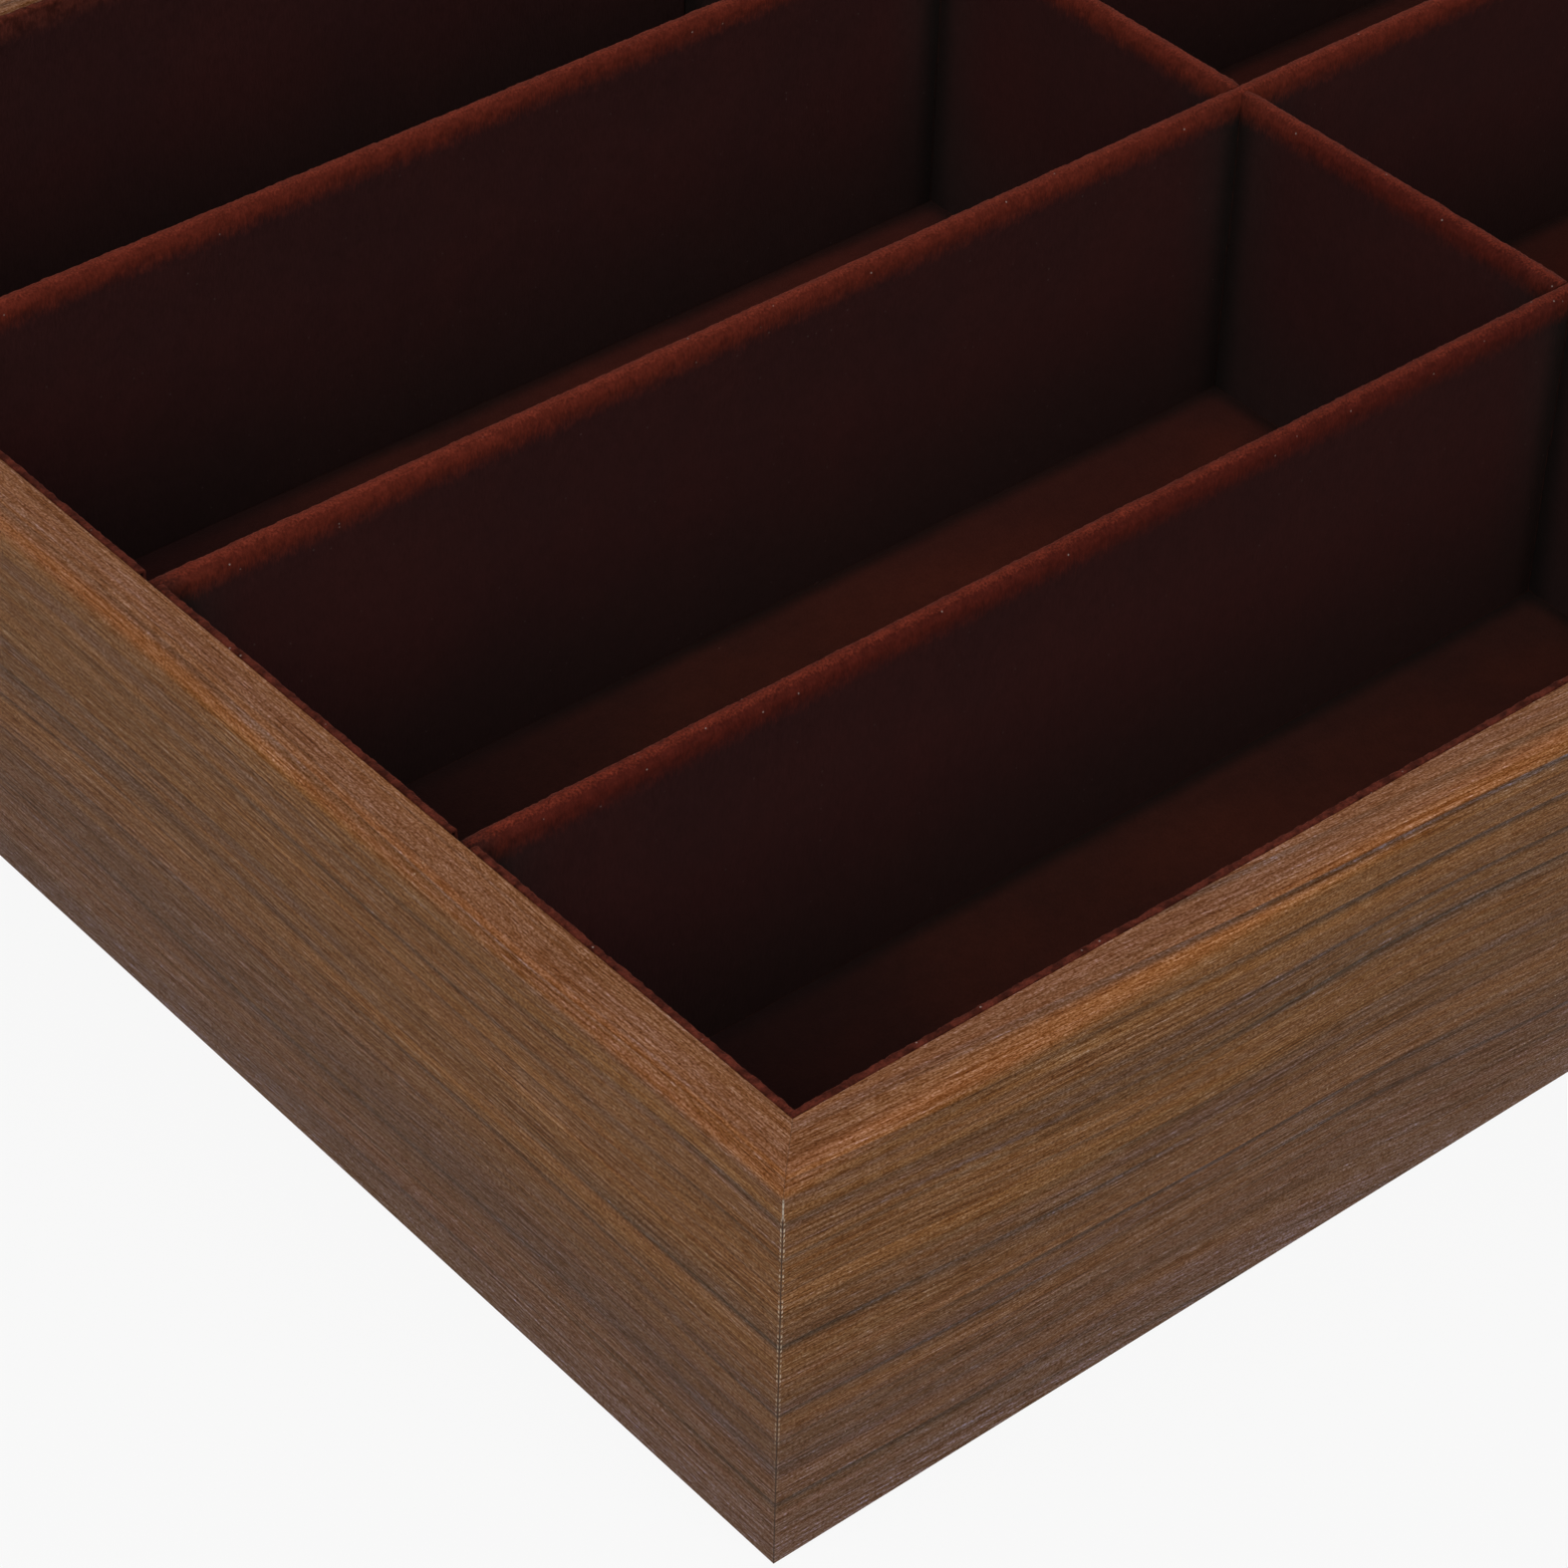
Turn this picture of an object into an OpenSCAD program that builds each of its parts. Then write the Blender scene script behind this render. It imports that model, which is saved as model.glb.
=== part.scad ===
// Open-top organizer box for glasses. Four mitred walls, wrapped in walnut veneer, stand round a velvet-lined
// tray, and velvet-covered dividers that halve into each other split it into four rows and two columns.
// X runs along the long walls, Y along the short ones and Z up. The front is -Y and the left is -X.
// The origin is the middle of the underside, on the surface that the box stands on. Sizes are millimetres.

/* [Compartments] */
// Length of a compartment along X, from lining to cross divider
cell_l = 186.5; // [120:0.5:260]
// Width of the first and last row of compartments along Y
outer_cell_w = 58; // [40:0.5:90]
// Width of the two middle rows of compartments along Y
inner_cell_w = 61; // [40:0.5:90]
// Depth of a compartment, from the divider tops down to the velvet floor
cell_depth = 50.5; // [30:0.5:90]

/* [Walls] */
// Thickness of a wall with its veneer
wall_t = 8; // [7:0.5:14]
// Radius of the rounded outer edge of the rim
rim_r = 2; // [1.5:0.25:4]
// Thickness of the walnut veneer
veneer_t = 0.6; // [0.3:0.1:1]
// Depth to which the veneer turns down inside the rim
veneer_lip = 6; // [3:0.5:15]

/* [Base] */
// Thickness of the base panel
base_t = 5; // [3:0.5:9]
// Reach of the base panel's edge into the rebate under the walls
rebate_w = 4; // [2:0.5:5]
// Thickness of the felt sheet under the base panel
felt_t = 0.9; // [0.5:0.1:2]
// Distance from the edge of the base panel to the edge of the felt
felt_margin = 1.5; // [0.5:0.5:10]
// Height of the felt above the surface that the walls stand on
felt_rise = 0.3; // [0.2:0.1:1]
// Play round the base panel in its rebate and round the floor card between the walls
seat_play = 0.2; // [0.1:0.05:0.5]

/* [Lining] */
// Thickness of the velvet on the linings, the floor and the dividers
velvet_t = 0.7; // [0.4:0.1:1.2]
// Thickness of the card behind the velvet of the walls
card_t = 0.5; // [0.3:0.1:1.5]
// Thickness of the card under the velvet of the floor
floor_card_t = 1.6; // [1:0.1:3]
// Depth of the lining's folded top edge below the rim
lining_drop = 0.6; // [0.3:0.1:3]

/* [Dividers] */
// Thickness of a divider's core board
core_t = 2; // [1.5:0.25:4]
// Depth of the divider tops below the rim
divider_drop = 1; // [0.5:0.25:5]
// Play of a divider against the walls and between the edges of the linings
divider_play = 0.3; // [0.3:0.05:0.8]
// Play on each side of the slots where two dividers halve into each other
lap_play = 0.3; // [0.3:0.05:0.8]

/* [Hidden] */
$fn = 64;
rows = 4;
columns = 2;
long_dividers = rows - 1;

lining_t = card_t + velvet_t;
divider_t = core_t + 2 * velvet_t;
row_w = [outer_cell_w, inner_cell_w, inner_cell_w, outer_cell_w];
inner_l = columns * cell_l + divider_t + 2 * lining_t;
inner_w = 2 * outer_cell_w + 2 * inner_cell_w + long_dividers * divider_t + 2 * lining_t;
box_l = inner_l + 2 * wall_t;
box_w = inner_w + 2 * wall_t;

base_z = felt_rise + felt_t;
floor_z = base_z + base_t;
velvet_z = floor_z + floor_card_t + velvet_t;
divider_z = velvet_z + cell_depth;
rim_z = divider_z + divider_drop;
lining_z = rim_z - lining_drop;
lap_z = (velvet_z + divider_z) / 2;
lap_w = divider_t + 2 * lap_play;

base_l = inner_l + 2 * (rebate_w - seat_play);
base_w = inner_w + 2 * (rebate_w - seat_play);
floor_l = inner_l - 2 * seat_play;
floor_w = inner_w - 2 * seat_play;
long_l = inner_l - 2 * divider_play;
cross_l = inner_w - 2 * divider_play;

// Where each row of compartments starts, counted from the front
row_y = [for (i = 0, y = lining_t - inner_w / 2; i < rows; y = y + row_w[i] + divider_t, i = i + 1) y];
// Middle of the long divider behind each row
function divider_y(i) = row_y[i] + row_w[i] + divider_t / 2;

walnut = "#765039";
fibreboard = "#a98b66";
card = "#4a3a33";
velvet = "#47201a";
felt = "#2b2523";

// A bar along +X from the origin: the section's x becomes Y and its y becomes Z
module bar_x(length) {
    rotate([90, 0, 90]) linear_extrude(length) children();
}

// A bar along +Y from the origin: the section's x stays X and its y becomes Z
module bar_y(length) {
    translate([0, length, 0]) rotate([90, 0, 0]) linear_extrude(length) children();
}

// Section of a wall from its outer face at x = 0 inwards, with every outer face moved in by the inset
module wall_outline(inset) {
    translate([inset, 0]) square([wall_t - inset, rim_z - rim_r]);
    translate([rim_r, 0]) square([wall_t - rim_r, rim_z - inset]);
    translate([rim_r, rim_z - rim_r]) circle(rim_r - inset);
}

// The strip inside the rim that the veneer's turned-down edge fills
module lip_section() {
    translate([wall_t - veneer_t, rim_z - veneer_lip]) square([veneer_t, veneer_lip]);
}

module wall_core_section() {
    difference() {
        wall_outline(veneer_t);
        lip_section();
        translate([wall_t - rebate_w, 0]) square([rebate_w, floor_z]);
    }
}

module veneer_section() {
    difference() {
        wall_outline(0);
        difference() {
            wall_outline(veneer_t);
            lip_section();
        }
    }
}

// A wall member of a given outer length, mitred at both ends, with its outer face on y = 0
module mitred(length) {
    intersection() {
        translate([-length / 2, 0, 0]) bar_x(length) children();
        linear_extrude(rim_z)
            polygon([
                [-length / 2, 0],
                [length / 2, 0],
                [length / 2 - wall_t, wall_t],
                [wall_t - length / 2, wall_t]
            ]);
    }
}

module at_front() {
    translate([0, -box_w / 2, 0]) children();
}

module at_left() {
    translate([-box_l / 2, 0, 0]) rotate([0, 0, -90]) children();
}

module front_wall() {
    color(fibreboard) at_front() mitred(box_l) wall_core_section();
}

module back_wall() {
    mirror([0, 1, 0]) front_wall();
}

module left_wall() {
    color(fibreboard) at_left() mitred(box_w) wall_core_section();
}

module right_wall() {
    mirror([1, 0, 0]) left_wall();
}

module front_veneer() {
    color(walnut) at_front() mitred(box_l) veneer_section();
}

module back_veneer() {
    mirror([0, 1, 0]) front_veneer();
}

module left_veneer() {
    color(walnut) at_left() mitred(box_w) veneer_section();
}

module right_veneer() {
    mirror([1, 0, 0]) left_veneer();
}

// A flat sheet centred on the origin, with its underside at a height
module sheet(length, width, thickness, height) {
    translate([-length / 2, -width / 2, height]) cube([length, width, thickness]);
}

module base_panel() {
    color(fibreboard) sheet(base_l, base_w, base_t, base_z);
}

module underside_felt() {
    color(felt) sheet(base_l - 2 * felt_margin, base_w - 2 * felt_margin, felt_t, felt_rise);
}

module floor_card() {
    color(card) sheet(floor_l, floor_w, floor_card_t, floor_z);
}

module floor_velvet() {
    color(velvet) sheet(floor_l, floor_w, velvet_t, floor_z + floor_card_t);
}

// Sections of a wall lining from the wall's inner face at x = 0, standing on the velvet floor
module lining_card_section() {
    translate([0, velvet_z]) square([card_t, lining_z - velvet_t - velvet_z]);
}

// The velvet covers the card's face and folds over its top edge
module lining_velvet_section() {
    translate([card_t, velvet_z]) square([velvet_t, lining_z - velvet_t - velvet_z]);
    translate([0, lining_z - velvet_t]) square([card_t, velvet_t]);
    translate([card_t, lining_z - velvet_t]) intersection() {
        circle(velvet_t);
        square(velvet_t);
    }
}

// The front lining of a column runs from the side wall to the edge of the cross divider, and the second
// column's mirrors the first's
module front_lining(column) {
    mirror([column - 1, 0, 0]) translate([-inner_l / 2, -inner_w / 2, 0])
        bar_x(lining_t + cell_l - divider_play) children();
}

// The left lining of a row lies between its dividers, or between a divider and the lining of the end wall
module left_lining(row) {
    start = row_y[row - 1] + (row > 1 ? divider_play : 0);
    end = row_y[row - 1] + row_w[row - 1] - (row < rows ? divider_play : 0);
    translate([-inner_l / 2, start, 0]) bar_y(end - start) children();
}

module front_lining_card(column) {
    color(card) front_lining(column) lining_card_section();
}

module front_lining_velvet(column) {
    color(velvet) front_lining(column) lining_velvet_section();
}

module back_lining_card(column) {
    mirror([0, 1, 0]) front_lining_card(column);
}

module back_lining_velvet(column) {
    mirror([0, 1, 0]) front_lining_velvet(column);
}

module left_lining_card(row) {
    color(card) left_lining(row) lining_card_section();
}

module left_lining_velvet(row) {
    color(velvet) left_lining(row) lining_velvet_section();
}

module right_lining_card(row) {
    mirror([1, 0, 0]) left_lining_card(row);
}

module right_lining_velvet(row) {
    mirror([1, 0, 0]) left_lining_velvet(row);
}

// An upright strip of a given thickness with a round top edge, standing on the velvet floor
module round_topped(thickness, top) {
    translate([-thickness / 2, velvet_z]) square([thickness, top - thickness / 2 - velvet_z]);
    translate([0, top - thickness / 2]) circle(thickness / 2);
}

module divider_core_section() {
    round_topped(core_t, divider_z - velvet_t);
}

// The velvet runs up one face of the core, over its top edge and down the other face
module divider_velvet_section() {
    difference() {
        round_topped(divider_t, divider_z);
        divider_core_section();
    }
}

// The cross divider's slots are open at the top, and the long dividers drop into them
module cross_divider() {
    difference() {
        translate([0, -cross_l / 2, 0]) bar_y(cross_l) children();
        for (i = [0:long_dividers - 1])
            translate([-divider_t, divider_y(i) - lap_w / 2, lap_z - lap_play])
                cube([2 * divider_t, lap_w, cell_depth]);
    }
}

// A long divider's slot is open at the bottom and straddles the cross divider
module long_divider(index) {
    difference() {
        translate([-long_l / 2, divider_y(index - 1), 0]) bar_x(long_l) children();
        translate([-lap_w / 2, divider_y(index - 1) - divider_t, lap_z - cell_depth])
            cube([lap_w, 2 * divider_t, cell_depth]);
    }
}

module cross_divider_core() {
    color(card) cross_divider() divider_core_section();
}

module cross_divider_velvet() {
    color(velvet) cross_divider() divider_velvet_section();
}

module long_divider_core(index) {
    color(card) long_divider(index) divider_core_section();
}

module long_divider_velvet(index) {
    color(velvet) long_divider(index) divider_velvet_section();
}

front_wall();
back_wall();
left_wall();
right_wall();
front_veneer();
back_veneer();
left_veneer();
right_veneer();
base_panel();
underside_felt();
floor_card();
floor_velvet();
for (j = [1:columns]) {
    front_lining_card(j);
    front_lining_velvet(j);
    back_lining_card(j);
    back_lining_velvet(j);
}
for (i = [1:rows]) {
    left_lining_card(i);
    left_lining_velvet(i);
    right_lining_card(i);
    right_lining_velvet(i);
}
cross_divider_core();
cross_divider_velvet();
for (i = [1:long_dividers]) {
    long_divider_core(i);
    long_divider_velvet(i);
}
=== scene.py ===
# %% [markdown]
# # Glasses organizer box
# An open box for eight pairs of glasses: walnut-wrapped walls, a velvet floor and velvet dividers that
# halve into each other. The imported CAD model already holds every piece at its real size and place. This
# lesson loads it, gives each hard piece its finish, and makes the velvet and felt as real sheets of cloth.

# %% Load the frame
import math

import bpy
from mathutils import Matrix, Vector, noise


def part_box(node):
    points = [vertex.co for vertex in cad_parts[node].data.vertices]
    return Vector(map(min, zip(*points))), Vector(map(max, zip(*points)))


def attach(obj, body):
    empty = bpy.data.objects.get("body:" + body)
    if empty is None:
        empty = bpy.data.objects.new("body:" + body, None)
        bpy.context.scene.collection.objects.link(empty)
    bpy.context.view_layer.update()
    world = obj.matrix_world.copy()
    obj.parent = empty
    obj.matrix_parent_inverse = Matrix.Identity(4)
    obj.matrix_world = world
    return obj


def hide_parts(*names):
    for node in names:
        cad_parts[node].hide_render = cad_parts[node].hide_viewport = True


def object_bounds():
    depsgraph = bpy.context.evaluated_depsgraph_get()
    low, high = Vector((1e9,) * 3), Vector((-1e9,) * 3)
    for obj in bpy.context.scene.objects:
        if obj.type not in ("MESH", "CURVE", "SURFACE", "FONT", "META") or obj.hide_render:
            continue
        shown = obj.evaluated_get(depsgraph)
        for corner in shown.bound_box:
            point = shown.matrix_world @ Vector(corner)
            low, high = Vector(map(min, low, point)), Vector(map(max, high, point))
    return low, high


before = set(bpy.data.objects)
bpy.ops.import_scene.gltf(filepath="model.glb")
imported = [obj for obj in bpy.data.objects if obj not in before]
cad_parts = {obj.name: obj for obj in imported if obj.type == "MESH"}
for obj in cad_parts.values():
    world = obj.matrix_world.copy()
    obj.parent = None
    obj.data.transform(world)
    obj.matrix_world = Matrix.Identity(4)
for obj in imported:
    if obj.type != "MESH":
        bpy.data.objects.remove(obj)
cad_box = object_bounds()

MM = 0.001
print("CAD box in mm:", [[round(v / MM, 1) for v in corner] for corner in cad_box])

# %% [markdown]
# ## Camera
# The picture is a close view of one corner, looking down at about 40 degrees. A camera can be aimed by eye,
# but here its place, angles and lens were worked out from the box's straight edges, so they are written as
# numbers: where the camera stands, where it points, and how far it leans over.

# %% Camera
camera_place = Vector((-0.45578, -0.43003, 0.44126))
camera_yaw = math.radians(40.8923)
camera_pitch = math.radians(39.4955)
camera_roll = math.radians(-1.4507)
camera_sensor = 36
camera_lens = 115.887
camera_near = 0.01

level_ahead = Vector((math.sin(camera_yaw), math.cos(camera_yaw), 0))
ahead = level_ahead * math.cos(camera_pitch) - Vector((0, 0, math.sin(camera_pitch)))
level_right = ahead.cross(Vector((0, 0, 1))).normalized()
level_up = level_right.cross(ahead)
up = level_up * math.cos(camera_roll) + level_right * math.sin(camera_roll)
right = ahead.cross(up)

camera = bpy.data.objects.new("camera", bpy.data.cameras.new("camera"))
bpy.context.collection.objects.link(camera)
camera.data.sensor_width = camera_sensor
camera.data.lens = camera_lens
camera.data.clip_start = camera_near
turn = Matrix((right, up, -ahead)).transposed().to_4x4()
camera.matrix_world = Matrix.Translation(camera_place) @ turn
bpy.context.scene.camera = camera
bpy.context.scene.view_settings.view_transform = "Standard"
print("camera looks along", [round(v, 3) for v in ahead])

# %% [markdown]
# ## Short ways to write nodes
# Every finish below is a tree of shader nodes. Clicking them together by hand is one way. In code, a few
# small helpers keep each line readable: place a node, feed its sockets, and fetch the output that comes
# next.

# %% Node helpers
def feed(tree, socket, value):
    """Links an output to a socket, or sets the socket to a plain value."""
    if isinstance(value, bpy.types.NodeSocket):
        tree.links.new(value, socket)
    else:
        socket.default_value = value


def place(tree, kind, inputs, **settings):
    """Places one node with its settings and its inputs."""
    node = tree.nodes.new(kind)
    for name, value in settings.items():
        setattr(node, name, value)
    for name, value in inputs.items():
        feed(tree, node.inputs[name], value)
    return node


def maths(tree, operation, *values):
    """One sum on numbers, such as ADD or MULTIPLY."""
    node = tree.nodes.new("ShaderNodeMath")
    node.operation = operation
    for socket, value in zip(node.inputs, values):
        feed(tree, socket, value)
    return node.outputs[0]


def times(tree, *values):
    """All the values multiplied."""
    product = values[0]
    for value in values[1:]:
        product = maths(tree, "MULTIPLY", product, value)
    return product


def mixed(tree, share, first, second):
    """Two shaders, mixed by the share of the second."""
    return place(tree, "ShaderNodeMixShader", {0: share, 1: first, 2: second}).outputs[0]


print("node helpers ready")

# %% [markdown]
# ## Sky and floor
# The box stands in a bright tent: soft light from all sides and a background that is nearly white. Cards
# could build a real tent, but an even white sky does the same. The camera sees the sky and floor as one
# pale tone, the box gets a plain amount of light, and the floor still takes some of the shadow.

# %% Sky and floor
white = (1, 1, 1, 1)
pale = (0.939, 0.939, 0.939, 1)
sky_strength = 0.12
floor_reach = 4.0
floor_grey = (0.45, 0.45, 0.45, 1)
floor_glow = 1.06
shadow_share = 0.10


def seen_directly(tree):
    """1 for what the camera sees, also in a mirror or through glass, and 0 for rays that carry light."""
    light_path = tree.nodes.new("ShaderNodeLightPath").outputs
    mirrored = maths(tree, "MAXIMUM", light_path["Is Glossy Ray"], light_path["Is Transmission Ray"])
    return maths(tree, "MAXIMUM", light_path["Is Camera Ray"], mirrored)


world = bpy.data.worlds.new("light_tent")
bpy.context.scene.world = world
world.use_nodes = True
tent = world.node_tree
tent.nodes.clear()
lighting_sky = place(tent, "ShaderNodeBackground", {"Color": white, "Strength": sky_strength}).outputs[0]
visible_sky = place(tent, "ShaderNodeBackground", {"Color": pale, "Strength": 1.0}).outputs[0]
sky = mixed(tent, seen_directly(tent), lighting_sky, visible_sky)
place(tent, "ShaderNodeOutputWorld", {"Surface": sky})

floor_mesh = bpy.data.meshes.new("studio_floor")
floor_corners = [(-1, -1, 0), (1, -1, 0), (1, 1, 0), (-1, 1, 0)]
floor_mesh.from_pydata([Vector(c) * floor_reach for c in floor_corners], [], [(0, 1, 2, 3)])
studio_floor = bpy.data.objects.new("studio_floor", floor_mesh)
bpy.context.collection.objects.link(studio_floor)

floor_finish = bpy.data.materials.new("pale_floor")
floor_finish.use_nodes = True
tree = floor_finish.node_tree
tree.nodes.clear()
matt = place(tree, "ShaderNodeBsdfDiffuse", {"Color": floor_grey}).outputs[0]
glow = place(tree, "ShaderNodeEmission", {"Color": pale, "Strength": floor_glow}).outputs[0]
paleness = times(tree, seen_directly(tree), 1 - shadow_share)
place(tree, "ShaderNodeOutputMaterial", {"Surface": mixed(tree, paleness, matt, glow)})
floor_mesh.materials.append(floor_finish)
print("tent light", sky_strength, "and a floor of", 2 * floor_reach, "m")

# %% [markdown]
# ## Lamps
# Two large soft lamps stand on the camera's side and light the two walls that show. A weak one behind the
# box lifts the far folds. Large round lamps keep the shadows soft, as the cloth of a tent does. Sun lamps
# would draw hard edges inside the compartments.

# %% Lamps
lamp_size = 1.2
lamps = {
    "left_lamp": (Vector((-1.15, -0.25, 0.92)), 13.2),
    "front_lamp": (Vector((-0.25, -1.15, 0.92)), 15.2),
    "back_lamp": (Vector((0.95, 0.80, 0.66)), 6.0),
}
for name, (stands, power) in lamps.items():
    lamp = bpy.data.objects.new(name, bpy.data.lights.new(name, "AREA"))
    bpy.context.collection.objects.link(lamp)
    lamp.data.shape = "DISK"
    lamp.data.size = lamp_size
    lamp.data.energy = power
    lamp.location = stands
    lamp.rotation_mode = "QUATERNION"
    lamp.rotation_quaternion = stands.to_track_quat("Z", "Y")
    print(name, "of", power, "W")

# %% [markdown]
# ## Where the veneer lies
# One long strip of walnut runs round the box. It covers the outer faces, bends over the rounded edge onto
# the rim, and folds at each corner, so its stripes meet there. A flat picture could be wrapped on with UV
# maps. Here a node group works out, at any point, how far along the strip it is and how far up and over the
# wall.

# %% Group helpers
metre_in_mm = 1000.0


def vector_maths(tree, operation, first, second):
    """One sum on two vectors, such as DIVIDE. A DOT_PRODUCT gives a number."""
    outputs = place(tree, "ShaderNodeVectorMath", {0: first, 1: second}, operation=operation).outputs
    return outputs["Value" if operation == "DOT_PRODUCT" else "Vector"]


def start_group(name, inputs, outputs):
    """A new node group with named sockets: (tree, what it is given, what it gives)."""
    tree = bpy.data.node_groups.new(name, "ShaderNodeTree")
    kinds = {"value": "NodeSocketFloat", "vector": "NodeSocketVector", "color": "NodeSocketColor"}
    for label, kind in inputs.items():
        tree.interface.new_socket(label, in_out="INPUT", socket_type=kinds[kind])
    for label, kind in outputs.items():
        tree.interface.new_socket(label, in_out="OUTPUT", socket_type=kinds[kind])
    given = tree.nodes.new("NodeGroupInput").outputs
    result = tree.nodes.new("NodeGroupOutput").inputs
    return tree, given, result


def use_group(tree, group, inputs):
    """Places a node group with its inputs and gives its outputs."""
    return place(tree, "ShaderNodeGroup", inputs, node_tree=group).outputs


def in_millimetres(tree, position):
    """A point in millimetres, and its X, Y and Z."""
    sockets = {0: position, "Scale": metre_in_mm}
    point = place(tree, "ShaderNodeVectorMath", sockets, operation="SCALE").outputs[0]
    return point, place(tree, "ShaderNodeSeparateXYZ", {0: point}).outputs


print("group helpers ready")

# %% Wrap coordinates
wrap_group, given, result = start_group(
    "Wrap Coordinates",
    {"Position": "vector", "Along": "vector", "Inward": "vector", "Half Length": "value",
     "Half Depth": "value", "Run Start": "value"},
    {"Run": "value", "Wrap": "value", "Joint": "value", "Height": "value"},
)
g = wrap_group
point, axes = in_millimetres(g, given["Position"])
along = vector_maths(g, "DOT_PRODUCT", point, given["Along"])
inward = vector_maths(g, "DOT_PRODUCT", point, given["Inward"])
depth = maths(g, "ADD", inward, given["Half Depth"])
from_end = maths(g, "SUBTRACT", given["Half Length"], maths(g, "ABSOLUTE", along))
feed(g, result["Run"], maths(g, "ADD", along, given["Run Start"]))
feed(g, result["Wrap"], maths(g, "ADD", axes["Z"], depth))
feed(g, result["Joint"], maths(g, "SUBTRACT", from_end, depth))
feed(g, result["Height"], axes["Z"])
print("made", wrap_group.name)

# %% [markdown]
# ## Walnut grain
# The veneer shows long growth lines that drift and slant, golden, plum and mauve bands between them, and
# everywhere short pores and fine lines pressed in along the grain. Wave textures give stripes that are too
# even. Noise that is stretched along the strip, at one size for each of these, looks like the real thing.
# The fine grain darkens all three colours by about the same step, so green and blue, which are lower, get a
# higher power of it. The same group also paints light and shade into the colour: a highlight along the
# rounded edge, a sheen on the rim, golden light high on the faces, a darker plum shade towards the foot and
# a paler foot lit by the floor.

# %% Noise and colour helpers
# The numbers of the Mix node's sockets for colours.
MIX_FACTOR = 0
MIX_FIRST = 6
MIX_SECOND = 7
MIX_COLOR = 2


def spread(tree, value, factor, start):
    """A value times a factor, added to a start. Some pairs below hold these two."""
    return maths(tree, "MULTIPLY_ADD", value, factor, start)


def fade(tree, value, start, end, low=0.0, high=1.0):
    """A smooth step from low at start to high at end. Other pairs and fours below hold these."""
    sockets = {"Value": value, "From Min": start, "From Max": end, "To Min": low, "To Max": high}
    return place(tree, "ShaderNodeMapRange", sockets, interpolation_type="SMOOTHSTEP").outputs["Result"]


def cloud(tree, x, y, z, detail=2.0, roughness=0.5):
    """Soft noise from 0 to 1 at a point whose coordinates are already divided by the size of its spots."""
    point = place(tree, "ShaderNodeCombineXYZ", {"X": x, "Y": y, "Z": z}).outputs[0]
    sockets = {"Vector": point, "Scale": 1.0, "Detail": detail, "Roughness": roughness}
    return place(tree, "ShaderNodeTexNoise", sockets).outputs["Fac"]


def tint(tree, factor, first, second, blend="MIX"):
    """Mixes two colours."""
    node = place(tree, "ShaderNodeMix", {}, data_type="RGBA", blend_type=blend)
    feed(tree, node.inputs[MIX_FACTOR], factor)
    feed(tree, node.inputs[MIX_FIRST], first)
    feed(tree, node.inputs[MIX_SECOND], second)
    return node.outputs[MIX_COLOR]


def shaded(tree, color, red, green, blue):
    """A colour with its red, green and blue multiplied."""
    shares = place(tree, "ShaderNodeCombineColor", {0: red, 1: green, 2: blue}).outputs[0]
    return tint(tree, 1.0, color, shares, "MULTIPLY")


print("noise and colour helpers ready")

# %% Grain layers
grain_group, given, result = start_group(
    "Walnut Grain",
    {"Run": "value", "Wrap": "value"},
    {"Color": "color", "Roughness": "value", "Height": "value"},
)
g = grain_group
run = given["Run"]
wrap = given["Wrap"]
band_detail = 2.0
drift_reach = 11.0
slant_slope = 0.08
thin_share = 0.42


def stretched(length, width, pattern, over, detail=1.0, roughness=0.5):
    """Noise in streaks of about that length and width, in millimetres. Each number is another pattern."""
    x = maths(grain_group, "DIVIDE", run, length)
    y = maths(grain_group, "DIVIDE", over, width)
    return cloud(grain_group, x, y, pattern, detail, roughness)


drift = spread(g, stretched(120, 40, 0.3, wrap), drift_reach, -drift_reach / 2)
slant = times(g, maths(g, "MAXIMUM", run, 0.0), slant_slope)
across = maths(g, "ADD", maths(g, "ADD", wrap, drift), slant)

wide_bands = stretched(200, 7.0, 3.7, across, band_detail)
thin_bands = stretched(60, 1.3, 9.2, across, band_detail)
cool_lines = stretched(120, 0.8, 41.6, across)
warm_lines = stretched(90, 0.7, 47.3, across)
mauve_bands = stretched(100, 2.5, 61.9, across)
streaks = stretched(60, 1.1, 12.4, across, band_detail, 0.55)
pressed_lines = stretched(18, 0.40, 21.0, across)
line_patches = stretched(25, 6, 55.4, across)
pores = stretched(2.4, 0.19, 27.0, across)
salt = stretched(0.45, 0.19, 33.0, across)
ring_drift = stretched(420, 15, 8.1, across)
ring_patches = stretched(90, 8, 5.2, across, band_detail)
tone = spread(g, thin_bands, thin_share, times(g, wide_bands, 1 - thin_share))
print("grain in", len([n for n in g.nodes if n.type == "TEX_NOISE"]), "layers of noise")

# %% Grain colour
golden = (0.198, 0.0820, 0.0245, 1)
brown = (0.145, 0.0675, 0.0260, 1)
plum = (0.114, 0.0615, 0.0415, 1)
violet = (0.081, 0.051, 0.042, 1)
amber = (0.265, 0.106, 0.026, 1)
# painted sheen on the rim
painted_rim_sheen = (0.184, 0.068, 0.032, 1)
# painted light from the floor on the wall's foot
painted_floor_bounce = (0.150, 0.090, 0.064, 1)
# painted highlight along the rounded edge
painted_edge_highlight = (0.245, 0.080, 0.026, 1)
growth_line = (0.052, 0.036, 0.027, 1)
edge_band = 61.0
ring_spacing = 5.2
ring_wander = 2.0
ring_rise = (0.72, 0.93)
ring_fall = (1.0, 0.95)
ring_patch = (0.38, 0.64, 0.10, 0.75)
ring_by_run = (-60, 20, 0.6, 1.0)

band_away = maths(g, "ABSOLUTE", maths(g, "SUBTRACT", wrap, edge_band))
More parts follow.
